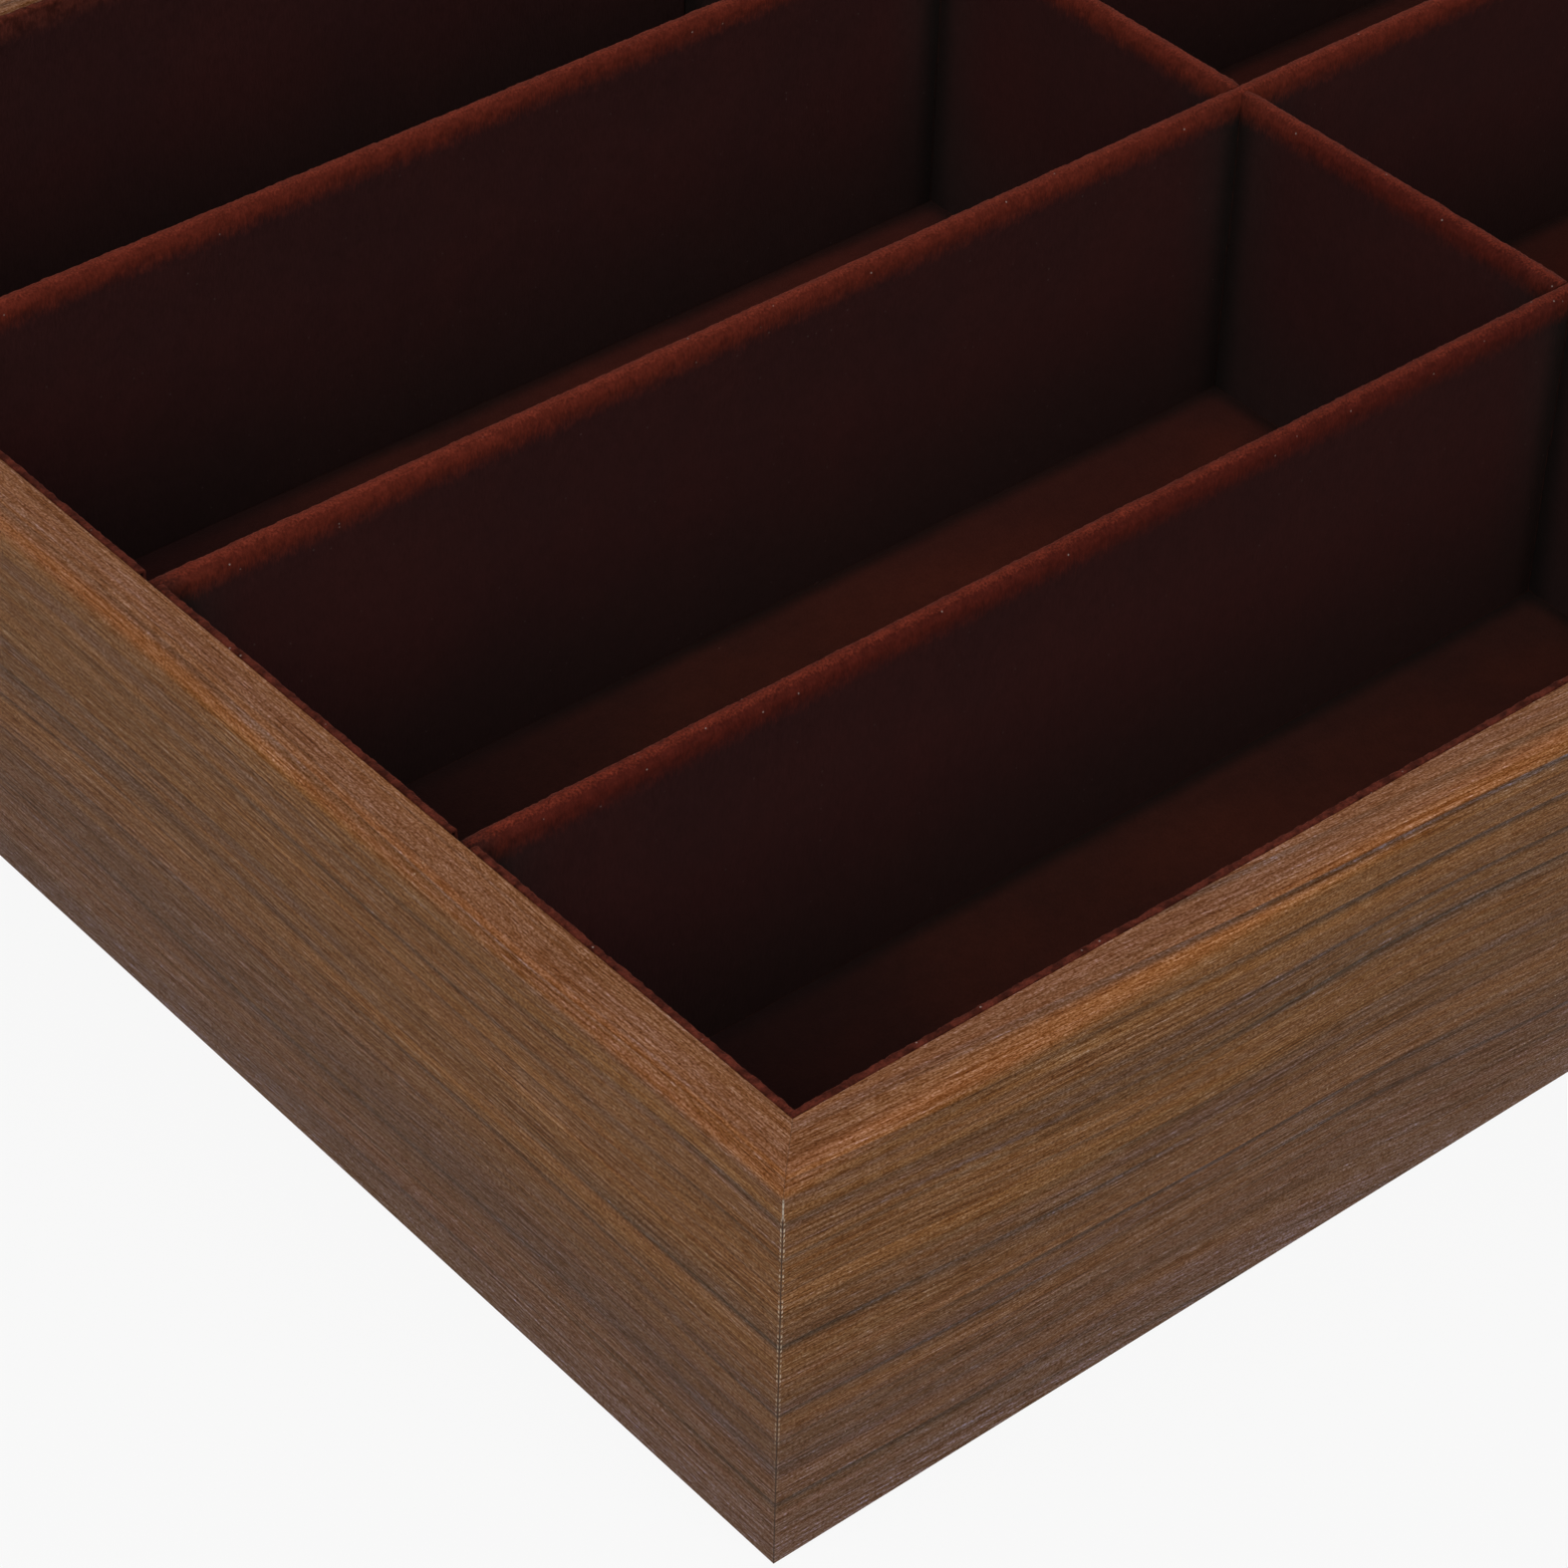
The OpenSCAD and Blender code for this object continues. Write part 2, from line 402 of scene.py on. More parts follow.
# Each row: a shade, what it follows, where it starts, where it is full, and its share there.
shades = [
    (golden, tone, 0.385, 0.675, 1.0),
    (plum, tone, 0.48, 0.32, 0.65),
    # painted shade: darker and more plum towards the foot of the wall
    (plum, wrap, 42, 4, 0.55),
    # painted light: a paler, greyer foot where light from the floor falls on the wall
    (painted_floor_bounce, wrap, 10, 1, 0.5),
    # painted light: golden high on the faces, below the rounded edge
    (golden, wrap, 45, 54, 0.35),
    # painted highlight: an orange band along the rounded edge
    (painted_edge_highlight, band_away, 3.4, 0.8, 0.45),
    # painted sheen: the rim turns rose-grey
    (painted_rim_sheen, wrap, 60.5, 65.5, 0.55),
    (violet, cool_lines, 0.56, 0.74, 0.22),
    (amber, warm_lines, 0.58, 0.76, 0.15),
]
color = brown
for shade, follows, start, full, share in shades:
    color = tint(g, fade(g, follows, start, full, 0.0, share), color, shade)

ring = maths(g, "FRACT", spread(g, ring_drift, ring_wander, maths(g, "DIVIDE", across, ring_spacing)))
ring_line = times(g, fade(g, ring, *ring_rise), fade(g, ring, *ring_fall))
ring_strength = times(g, fade(g, ring_patches, *ring_patch), fade(g, run, *ring_by_run))
color = tint(g, times(g, ring_line, ring_strength), color, growth_line)
print("grain in", len(shades), "shades and growth lines", ring_spacing, "mm apart")

# %% Fine grain
band_value = (0.36, 0.82)
streak_value = (0.46, 0.77)
# painted light and shade: the faces darker, brighter up to the rounded edge, a little less on the rim past
# it
painted_face_shade = (46.0, 52.0, 0.82, 0.88)
painted_edge_light = (57.0, 61.0, 1.0, 1.07)
painted_edge_light_end = (61.0, 64.0, 1.0, 0.91)
line_depth = (0.35, 0.65, 0.9, 2.0)
pore_depth = (1.7, 0.15)
salt_depth = (2.1, -0.05)
fine_least = 0.05
green_power = 1.48
blue_power = 2.4
mauve_share = (0.4, 0.80)
lacquer = (-0.25, 0.68)
noise_middle = 0.5

value = times(g, spread(g, wide_bands, *band_value), spread(g, streaks, *streak_value))
# painted shade on the faces and painted light at the rounded edge
value = times(g, value, fade(g, wrap, *painted_face_shade), fade(g, wrap, *painted_edge_light), fade(g, wrap, *painted_edge_light_end))
line_step = maths(g, "SUBTRACT", pressed_lines, noise_middle)
fine = spread(g, line_step, fade(g, line_patches, *line_depth), 1.0)
fine = times(g, fine, spread(g, pores, *pore_depth), spread(g, salt, *salt_depth))
fine = maths(g, "MAXIMUM", fine, fine_least)
red_share = times(g, value, fine)
green_share = times(g, value, maths(g, "POWER", fine, green_power))
blue_share = times(g, value, maths(g, "POWER", fine, blue_power), spread(g, mauve_bands, *mauve_share))
feed(g, result["Color"], shaded(g, color, red_share, green_share, blue_share))
feed(g, result["Roughness"], spread(g, pores, *lacquer))
feed(g, result["Height"], pores)
print("made", grain_group.name)

# %% [markdown]
# ## Worn corners
# Where the strip folds round a corner, its surface has cracked along two thin lines, which show pale and
# dotted, with a dark crease between them. Close under the rim they run into one pale line, and on the rim
# the fold is only a fine dark line. Paint on a texture would do it, but the distance from the joint is
# known, so a mask of that distance is exact on all four corners.

# %% Worn corners
ridge_inner = (0.12, 0.22)
ridge_outer = (0.44, 0.32)
spine_edge = (0.20, 0.08)
spine_beads = (0.1, 0.4, 0.35, 1.0)
spine_strength = 0.75
uneven_height = 1.3
uneven_side = 0.4
dot_rate = 8.0
dot_wander = 9.0
dot_edge = (-0.3, 0.5)
dot_patches = (0.36, 0.56)
top_from = (55.0, 56.2)
top_until = (58.6, 58.2)
below_top = (56.2, 55.0)
lower_part = (10, 36, 0.12, 0.75)
crease_edge = (0.16, 0.03)
crease_by_height = (57, 59, 0.8, 0.3)

wear_group, given, result = start_group(
    "Corner Wear",
    {"Joint": "value", "Height": "value"},
    {"Wear": "value", "Crease": "value"},
)
g = wear_group
height = given["Height"]
off_joint = maths(g, "ABSOLUTE", given["Joint"])
ridge = times(g, fade(g, off_joint, *ridge_inner), fade(g, off_joint, *ridge_outer))
spine = times(g, fade(g, off_joint, *spine_edge), fade(g, maths(g, "FRACT", height), *spine_beads))
uneven_up = maths(g, "DIVIDE", height, uneven_height)
uneven = cloud(g, 0.0, uneven_up, maths(g, "DIVIDE", given["Joint"], uneven_side))
dot_phase = spread(g, height, dot_rate, times(g, uneven, dot_wander))
dots = times(g, fade(g, maths(g, "SINE", dot_phase), *dot_edge), fade(g, uneven, *dot_patches))
near_top = times(g, fade(g, height, *top_from), fade(g, height, *top_until))
lower_share = times(g, fade(g, height, *below_top), fade(g, height, *lower_part))
wear = maths(g, "MAXIMUM", times(g, spine, near_top, spine_strength), times(g, ridge, dots, lower_share))
feed(g, result["Wear"], wear)
feed(g, result["Crease"], times(g, fade(g, off_joint, *crease_edge), fade(g, height, *crease_by_height)))
print("made", wear_group.name)

# %% [markdown]
# ## Lint and specks
# Close up, tiny pale specks sit on the wood and the velvet. Scattered particles would be extra pieces. A
# Voronoi texture gives each small cell one point, and the group keeps a few of these points as specks.

# %% Lint specks
speck_edge = (1.0, 0.4)


def in_cells(tree, position, size):
    """A point in millimetres, divided by the size of a cell."""
    point, _ = in_millimetres(tree, position)
    sizes = place(tree, "ShaderNodeCombineXYZ", {"X": size, "Y": size, "Z": size}).outputs[0]
    return vector_maths(tree, "DIVIDE", point, sizes)


speck_group, given, result = start_group(
    "Lint Specks",
    {"Position": "vector", "Spacing": "value", "Size": "value", "Share": "value"},
    {"Specks": "value"},
)
g = speck_group
cells = in_cells(g, given["Position"], given["Spacing"])
voronoi = place(g, "ShaderNodeTexVoronoi", {"Vector": cells, "Scale": 1.0}).outputs
distance = times(g, voronoi["Distance"], given["Spacing"])
chance = place(g, "ShaderNodeSeparateColor", {0: voronoi["Color"]}).outputs[0]
kept = maths(g, "LESS_THAN", chance, given["Share"])
round_speck = fade(g, maths(g, "DIVIDE", distance, given["Size"]), *speck_edge)
feed(g, result["Specks"], times(g, round_speck, kept))
print("made", speck_group.name)

# %% [markdown]
# ## Walnut finish
# The four walls take the same finish. Only the direction of the strip differs from wall to wall, so one
# function makes the four materials. The gloss is low: a thin satin lacquer that the pores break up.

# %% Material helpers
def start_material(name):
    """A new material, its node tree, its Principled shader and the piece's own coordinates in metres."""
    material = bpy.data.materials.new(name)
    material.use_nodes = True
    tree = material.node_tree
    shader = next(n for n in tree.nodes if n.type == "BSDF_PRINCIPLED")
    position = tree.nodes.new("ShaderNodeTexCoord").outputs["Object"]
    return material, tree, shader, position


def roughen(tree, shader, height, strength, distance):
    """A bump under the finish, of a strength and a height in metres."""
    bump = place(tree, "ShaderNodeBump", {"Height": height, "Strength": strength, "Distance": distance})
    feed(tree, shader.inputs["Normal"], bump.outputs[0])


def dress(node, material):
    """Gives a CAD piece its finish."""
    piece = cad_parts[node]
    piece.data.materials.clear()
    piece.data.materials.append(material)


print("material helpers ready")

# %% Walnut finish
half_long = cad_box[1].x / MM
half_short = cad_box[1].y / MM
# Each wall: the way its strip runs, the way into the box, half its length, half the depth of the box, and
# where its run starts.
wall_runs = {
    "front": ((1, 0, 0), (0, 1, 0), half_long, half_short, half_long),
    "left": ((0, -1, 0), (1, 0, 0), half_short, half_long, -half_short),
    "right": ((0, 1, 0), (-1, 0, 0), half_short, half_long, 2 * half_long + half_short),
    "back": ((-1, 0, 0), (0, -1, 0), half_long, half_short, -2 * half_short - half_long),
}
worn_beige = (0.50, 0.42, 0.33, 1)
crease_dark = (0.035, 0.022, 0.016, 1)
speck_pale = (0.48, 0.38, 0.28, 1)
speck_strength = 0.65
wood_specks = {"Spacing": 1.6, "Size": 0.13, "Share": 0.16}
wood_gloss = 0.05
pore_bump = (0.35, 0.00006)


def walnut_finish(side):
    """The walnut of one wall, with its grain running on from its neighbours."""
    direction, inwards, half_length, half_depth, start = wall_runs[side]
    material, tree, shader, position = start_material(f"walnut_{side}")
    lies = use_group(tree, wrap_group, {
        "Position": position, "Along": direction, "Inward": inwards,
        "Half Length": half_length, "Half Depth": half_depth, "Run Start": start})
    grain = use_group(tree, grain_group, {"Run": lies["Run"], "Wrap": lies["Wrap"]})
    corner = use_group(tree, wear_group, {"Joint": lies["Joint"], "Height": lies["Height"]})
    specks = use_group(tree, speck_group, {"Position": position, **wood_specks})
    color = tint(tree, corner["Crease"], grain["Color"], crease_dark)
    color = tint(tree, corner["Wear"], color, worn_beige)
    color = tint(tree, times(tree, specks["Specks"], speck_strength), color, speck_pale)
    feed(tree, shader.inputs["Base Color"], color)
    feed(tree, shader.inputs["Roughness"], grain["Roughness"])
    shader.inputs["Specular IOR Level"].default_value = wood_gloss
    roughen(tree, shader, grain["Height"], *pore_bump)
    return material


for side in wall_runs:
    dress(f"{side}_veneer", walnut_finish(side))
print("walnut on", list(wall_runs))

# %% [markdown]
# ## Fibreboard and card
# Under the veneer the walls are fibreboard, and so is the base panel. They show from below, and between the
# linings where a divider is lifted out. The linings and dividers are stiffened with dark card. Both are
# pressed fibre, so one group gives their fine mottling and each material sets its own size and colour.

# %% Pressed fibre
speckle_noise = {"Scale": 1.0, "Detail": 4.0, "Roughness": 0.65}
blotch_noise = {"Scale": 0.07, "Detail": 2.0}
blotch_share = 0.5

fibre_group, given, result = start_group(
    "Pressed Fibre",
    {"Position": "vector", "Fibre Size": "value"},
    {"Fibre": "value", "Height": "value"},
)
g = fibre_group
cells = in_cells(g, given["Position"], given["Fibre Size"])
speckle = place(g, "ShaderNodeTexNoise", {"Vector": cells, **speckle_noise}).outputs["Fac"]
blotches = place(g, "ShaderNodeTexNoise", {"Vector": cells, **blotch_noise}).outputs["Fac"]
feed(g, result["Fibre"], spread(g, blotches, blotch_share, times(g, speckle, 1 - blotch_share)))
feed(g, result["Height"], speckle)
print("made", fibre_group.name)

# %% Fibreboard and card
fibre_contrast = (0.35, 0.65)
fibre_gloss = 0.2
fibre_matt_range = 0.2
fibre_bump = (0.4, 0.0001)


def fibre_finish(name, dark, light, fibre_size, matt):
    """A pressed-fibre board between a dark and a light shade."""
    material, tree, shader, position = start_material(name)
    fibre = use_group(tree, fibre_group, {"Position": position, "Fibre Size": fibre_size})
    color = tint(tree, fade(tree, fibre["Fibre"], *fibre_contrast), dark, light)
    feed(tree, shader.inputs["Base Color"], color)
    feed(tree, shader.inputs["Roughness"], spread(tree, fibre["Height"], fibre_matt_range, matt))
    shader.inputs["Specular IOR Level"].default_value = fibre_gloss
    roughen(tree, shader, fibre["Height"], *fibre_bump)
    return material


board_dark = (0.27, 0.175, 0.095, 1)
board_light = (0.46, 0.33, 0.20, 1)
card_dark = (0.032, 0.018, 0.014, 1)
card_light = (0.075, 0.045, 0.035, 1)
fibreboard = fibre_finish("fibreboard", board_dark, board_light, fibre_size=0.45, matt=0.72)
dark_card = fibre_finish("dark_card", card_dark, card_light, fibre_size=0.30, matt=0.75)
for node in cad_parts:
    if node.endswith("_wall") or node == "base_panel":
        dress(node, fibreboard)
    elif "_card" in node or "_core" in node:
        dress(node, dark_card)
print("boards dressed")

# %% [markdown]
# ## Velvet
# The velvet is a deep red-brown. Its short pile looks dark from the front and lights up at a grazing angle,
# and brushing leaves soft lighter and darker patches, small clumps and fine fibres. Hair particles could
# stand for the pile, but at this length a little sheen on the shader, fine noise and a slightly fuzzy mesh
# give the same look and keep the sheet a sheet.

# %% Velvet nap
brush_noise = {"Scale": 0.035, "Detail": 3.0, "Roughness": 0.6}
tuft_noise = {"Scale": 0.5, "Detail": 3.0, "Roughness": 0.65}
fibre_noise = {"Scale": 3.0, "Detail": 2.0, "Roughness": 0.6}
fibre_shape = (1.0, 1.0, 0.3)

nap_group, given, result = start_group(
    "Velvet Nap",
    {"Position": "vector"},
    {"Brushed": "value", "Tufts": "value", "Fibre": "value", "Height": "value", "Row": "value"},
)
g = nap_group
point, axes = in_millimetres(g, given["Position"])
combed = vector_maths(g, "MULTIPLY", point, fibre_shape)
brushed = place(g, "ShaderNodeTexNoise", {"Vector": point, **brush_noise})
tufts = place(g, "ShaderNodeTexNoise", {"Vector": point, **tuft_noise})
fibres = place(g, "ShaderNodeTexNoise", {"Vector": combed, **fibre_noise})
feed(g, result["Brushed"], brushed.outputs["Fac"])
feed(g, result["Tufts"], tufts.outputs["Fac"])
feed(g, result["Fibre"], fibres.outputs["Fac"])
feed(g, result["Height"], axes["Z"])
feed(g, result["Row"], axes["Y"])
print("made", nap_group.name)

# %% [markdown]
# ## Where velvet meets velvet
# In the corners of a compartment, where two naps meet, the light hardly reaches, so the velvet there is
# painted nearly black as shade. Ambient occlusion nodes would find such corners but can't be exported. The
# dividers and walls stand at known places, so a group gives the distance to the nearest of them along each
# direction, and the velvets paint their shade by it.

# %% Velvet seams
seam_group, given, result = start_group(
    "Velvet Seams",
    {"Position": "vector"},
    {"X Seam": "value", "Y Seam": "value", "Wall": "value"},
)
g = seam_group
_, axes = in_millimetres(g, given["Position"])


def nearest(tree, value, places):
    """The distance to the nearest of some places, which are the same on both sides of the middle."""
    size = maths(tree, "ABSOLUTE", value)
    distances = [maths(tree, "ABSOLUTE", maths(tree, "SUBTRACT", size, at)) for at in places]
    shortest = distances[0]
    for distance in distances[1:]:
        shortest = maths(tree, "MINIMUM", shortest, distance)
    return shortest


wall_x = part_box("right_lining_velvet_1")[0].x / MM
wall_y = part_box("back_lining_velvet_1")[0].y / MM
low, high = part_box("long_divider_velvet_3")
row_y = (low.y + high.y) / 2 / MM
feed(g, result["X Seam"], nearest(g, axes["X"], [0.0, wall_x]))
feed(g, result["Y Seam"], nearest(g, axes["Y"], [0.0, row_y, wall_y]))
feed(g, result["Wall"], nearest(g, axes["X"], [wall_x]))
print("velvet meets walls at", round(wall_x, 1), round(wall_y, 1), "mm")

# %% [markdown]
# ## Velvet shader
# Every velvet starts and ends the same way: a shader with a faint red sheen and next to no gloss, a colour
# that follows the brushing, and at the end clumps, fibres and lint over whatever was mixed in between. Two
# functions hold these parts, so that standing and lying velvet differ only in the middle.

# %% Velvet shader
# painted shade: the dark pile colour at the foot of upright velvet and along the seams
painted_shade_pile = (0.0137, 0.0090, 0.0083, 1)
# painted shadow: the near-black line where velvet meets velvet
painted_seam_shadow = (0.0048, 0.0046, 0.0042, 1)
lint_pale = (0.34, 0.27, 0.24, 1)
lint_size = 0.18
lint_strength = 0.6
velvet_gloss = 0.03
sheen_weight = 0.12
sheen_roughness = 0.35
sheen_red = (0.70, 0.20, 0.13, 1)
pile_matt = (0.2, 0.78)
pile_tufts = 0.6
pile_bump = (0.5, 0.00025)
brush_range = (0.25, 0.75)
clump_range = (0.32, 0.68, -1.0, 1.0)
clump_least = 0.06
fibre_least = 0.7
fibre_on_fold = 0.9


def start_velvet(name, shades, lint_spacing, lint_share):
    """A velvet with its shader set for pile: (material, tree, shader, nap, seams, colour, lint)."""
    material, tree, shader, position = start_material(name)
    nap = use_group(tree, nap_group, {"Position": position})
    seams = use_group(tree, seam_group, {"Position": position})
    lint = use_group(tree, speck_group, {
        "Position": position, "Spacing": lint_spacing, "Size": lint_size, "Share": lint_share})
    feed(tree, shader.inputs["Roughness"], spread(tree, nap["Fibre"], *pile_matt))
    shader.inputs["Specular IOR Level"].default_value = velvet_gloss
    shader.inputs["Sheen Weight"].default_value = sheen_weight
    shader.inputs["Sheen Roughness"].default_value = sheen_roughness
    shader.inputs["Sheen Tint"].default_value = sheen_red
    roughen(tree, shader, spread(tree, nap["Tufts"], pile_tufts, nap["Fibre"]), *pile_bump)
    color = tint(tree, fade(tree, nap["Brushed"], *brush_range), shades["deep"], shades["warm"])
    return material, tree, shader, nap, seams, color, lint["Specks"]


def finish_velvet(tree, shader, nap, color, folded, clumps, lint):
    """Breaks the colour up into clumps and fibres, most on a fold, and joins it to the shader with lint."""
    clump_share = spread(tree, folded, clumps, clump_least)
    clump = spread(tree, fade(tree, nap["Tufts"], *clump_range), clump_share, 1.0)
    fibre_share = spread(tree, folded, fibre_on_fold, fibre_least)
    fibre = spread(tree, maths(tree, "SUBTRACT", nap["Fibre"], noise_middle), fibre_share, 1.0)
    value = times(tree, clump, fibre)
    color = shaded(tree, color, value, value, value)
    feed(tree, shader.inputs["Base Color"], tint(tree, times(tree, lint, lint_strength), color, lint_pale))


print("velvet shader ready")

# %% [markdown]
# ## Standing velvet
# Upright velvet has painted shade towards the floor and the corners. Below a fold it is painted lighter and
# redder, as light that falls there, most on the rear dividers, and along the crest a painted highlight
# stands for the fibre tips catching the light. Near a wall or a crossing this painted light on the fold is
# dimmed by painted shade. The edge of the redder part is ragged, so it follows the tufts and fibres rather
# than a straight height. The linings have only their thin fold painted lit.

# %% Standing velvet
upright = {"deep": (0.0190, 0.0064, 0.0062, 1), "warm": (0.0240, 0.0070, 0.0064, 1)}
# painted light below the fold: lit on the rear dividers, a shaded copy on the front ones
painted_light_pile = (0.106, 0.0141, 0.0059, 1)
painted_light_pile_front = (0.072, 0.0084, 0.0036, 1)
# painted highlight along the crest, brighter on the rear dividers than on the front ones
painted_crest_highlight = (0.125, 0.0212, 0.0114, 1)
painted_crest_highlight_front = (0.117, 0.0190, 0.0100, 1)
# painted light on the lining's thin fold
painted_lining_fold_light = (0.060, 0.0125, 0.0073, 1)
fold_lint_spacing = 1.4
foot_shade = (36, 9, 0.0, 0.65)
seam_shade = (14, 2, 0.0, 0.6)
seam_core_shade = (6.5, 1.8, 0.0, 0.9)
rear_rows = (-22, -4)
# painted shade that dims the fold's painted light near a wall or a crossing
end_shade_reach = (1.5, 5.0)
tuft_rise = 2.4
fibre_rise = 2.0
shoulder_from = -2.5
shoulder_to = 1.2
shoulder_share = 0.58
crest_from = 0.05
crest_to = 0.6
crest_share = 0.9
fold_lint = (0.05, 0.55, 0.15, 0.8)


def upright_velvet(name, fold_top, clumps, lint_share, seam=None, end_shade_by=None, end_light_least=1.0):
    """Velvet that stands up to a fold. Near a seam it has painted shade, and near a wall or crossing its
    fold's painted light is dimmed.
    """
    material, tree, shader, nap, seams, color, lint = start_velvet(
        name, upright, fold_lint_spacing, lint_share)
    # painted shade towards the floor
    color = tint(tree, fade(tree, nap["Height"], *foot_shade), color, painted_shade_pile)
    end_light = 1.0
    painted_lit_pile = painted_lining_fold_light
    lit_tips = painted_lining_fold_light
    if seam:
        # the rear dividers get more painted light than the front ones
        rear_light_share = fade(tree, nap["Row"], *rear_rows)
        painted_lit_pile = tint(tree, rear_light_share, painted_light_pile_front, painted_light_pile)
        lit_tips = tint(tree, rear_light_share, painted_crest_highlight_front, painted_crest_highlight)
        # painted shade towards the seam, near black at its core
        color = tint(tree, fade(tree, seams[seam], *seam_shade), color, painted_shade_pile)
        color = tint(tree, fade(tree, seams[seam], *seam_core_shade), color, painted_seam_shadow)
        # painted shade: less of the fold's painted light near a wall or crossing
        end_light = fade(tree, seams[end_shade_by], *end_shade_reach, end_light_least, 1.0)
    ragged = spread(tree, nap["Fibre"], fibre_rise, spread(tree, nap["Tufts"], tuft_rise, nap["Height"]))
    # painted light below the fold
    shoulder = fade(tree, ragged, fold_top + shoulder_from, fold_top + shoulder_to, 0.0, shoulder_share)
    color = tint(tree, times(tree, shoulder, end_light), color, painted_lit_pile)
    # painted highlight where the fibre tips on the crest catch the light
    tips = maths(tree, "ADD", nap["Fibre"], nap["Height"])
    crest = fade(tree, tips, fold_top + crest_from, fold_top + crest_to, 0.0, crest_share)
    color = tint(tree, times(tree, crest, end_light), color, lit_tips)
    folded = maths(tree, "MAXIMUM", shoulder, crest)
    lint = times(tree, lint, fade(tree, folded, *fold_lint) if seam else crest)
    finish_velvet(tree, shader, nap, color, folded, clumps, lint)
    return material


divider_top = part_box("long_divider_velvet_1")[1].z / MM
lining_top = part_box("front_lining_velvet_1")[1].z / MM
long_velvet = upright_velvet(
    "long_velvet", divider_top, clumps=0.13, lint_share=0.12,
    seam="X Seam", end_shade_by="Wall", end_light_least=0.45)
cross_velvet = upright_velvet(
    "cross_velvet", divider_top, clumps=0.13, lint_share=0.12,
    seam="Y Seam", end_shade_by="Y Seam", end_light_least=0.8)
lining_velvet = upright_velvet("lining_velvet", lining_top, clumps=0.50, lint_share=0.3)
print("velvet folds at", round(divider_top, 2), "and", round(lining_top, 2), "mm")

# %% [markdown]
# ## Lying velvet
# The floor's pile lies flat. It is lighter and redder towards the middle and the back, has a painted
# shadow of the end walls near them, and painted shade along every seam. A painted mask could hold this,
# but distances to the walls and rows say the same in a few numbers.

# %% Lying velvet
lying = {"deep": (0.030, 0.0090, 0.0066, 1), "warm": (0.047, 0.0120, 0.0073, 1)}
# painted shadow of the end walls on the floor's pile
painted_wall_shadow_pile = (0.0165, 0.0072, 0.0069, 1)
floor_lint_spacing = 5.0
floor_lint_share = 0.12
floor_lint = 0.5
floor_seam_shade = (14, 2, 0.0, 0.3)
floor_seam_core_shade = (5.0, 1.7, 0.0, 0.8)
painted_wall_shadow_reach = (88, 28, 0.0, 0.75)
rear_lighter = (-20, 50, 1.0, 1.25)
middle_rows = (-66, -62, 0.0, 0.28)
middle_reach = (70, 150)
cool_part = 0.3


def lying_velvet(name):
    """The floor's velvet: lighter and redder towards the middle and the back, with painted shade along the
    seams and painted shadow near the end walls.
    """
    material, tree, shader, nap, seams, color, lint = start_velvet(
        name, lying, floor_lint_spacing, floor_lint_share)
    # painted shade along the floor's seams
    for seam in ("X Seam", "Y Seam"):
        color = tint(tree, fade(tree, seams[seam], *floor_seam_shade), color, painted_shade_pile)
        color = tint(tree, fade(tree, seams[seam], *floor_seam_core_shade), color, painted_seam_shadow)
    # painted shadow near the end walls
    color = tint(tree, fade(tree, seams["Wall"], *painted_wall_shadow_reach), color, painted_wall_shadow_pile)
    middle = times(tree, fade(tree, nap["Row"], *middle_rows), fade(tree, seams["Wall"], *middle_reach))
    lighter = maths(tree, "ADD", fade(tree, nap["Row"], *rear_lighter), middle)
    cooler = spread(tree, lighter, cool_part, 1 - cool_part)
    color = shaded(tree, color, lighter, cooler, cooler)
    finish_velvet(tree, shader, nap, color, 0.0, 0.0, times(tree, lint, floor_lint))
    return material


floor_pile = lying_velvet("floor_velvet_pile")
print("made", floor_pile.name)

# %% [markdown]
# ## Sheets from a profile
# Every cover here is a strip of cloth bent over an edge: the same profile all along, with a little
# unevenness. A curve with a bevel could sweep it, but rows and columns of points let the fold be fuzzy, the
# ends be softened and the slots be left open. A Solidify modifier then gives the cloth its thickness.

# %% Sheet helpers
edge_row = 0.12
seed_steps = (7.31, 3.17, 5.53)


def steps(start, end, step, marks=()):
    """Places from start to end about a step apart, with the marks that lie between them."""
    stops = sorted({start, end, *(mark for mark in marks if start < mark < end)})
    places = []
    for first, last in zip(stops, stops[1:]):
        count = max(1, round((last - first) / step))
        places += [first + (last - first) * i / count for i in range(count)]
    return places + [stops[-1]]


def by_edges(*edges):
    """The edges with a place close by on both sides, so that smooth shading bends only at the very edge."""
    return [edge + off for edge in edges for off in (-edge_row, 0.0, edge_row)]


def rough(point, size, seed):
    """Noise from about -1 to 1 in spots of a size. Each seed is another pattern."""
    return noise.noise(Vector(point) / size + Vector([seed * step for step in seed_steps]))


def keep_all(*_):
    """A sheet without cuts keeps every face."""
    return True


print("sheet helpers ready")

# %% Sheet maker
def sheet_piece(name, places, profile, point_at, keep, thickness, material):
    """A sheet with a row of points for each place and a column for each profile point, in millimetres."""
    width = len(profile)
    points = [point_at(place_at, spot) for place_at in places for spot in profile]
    faces = []
    for i in range(len(places) - 1):
        for j in range(width - 1):
            if keep((places[i] + places[i + 1]) / 2, profile[j], profile[j + 1]):
                first = i * width + j
                faces.append((first, first + 1, first + width + 1, first + width))
    used = sorted({corner for face in faces for corner in face})
    renumber = {old: new for new, old in enumerate(used)}
    mesh = bpy.data.meshes.new(name)
    corners = [Vector(points[old]) * MM for old in used]
    mesh.from_pydata(corners, [], [[renumber[old] for old in face] for face in faces])
    mesh.polygons.foreach_set("use_smooth", [True] * len(mesh.polygons))
    mesh.materials.append(material)
    piece = bpy.data.objects.new(name, mesh)
    bpy.context.collection.objects.link(piece)
    solid = piece.modifiers.new("cloth thickness", "SOLIDIFY")
    solid.thickness = thickness * MM
    solid.offset = -1
    return piece


print("sheet maker ready")

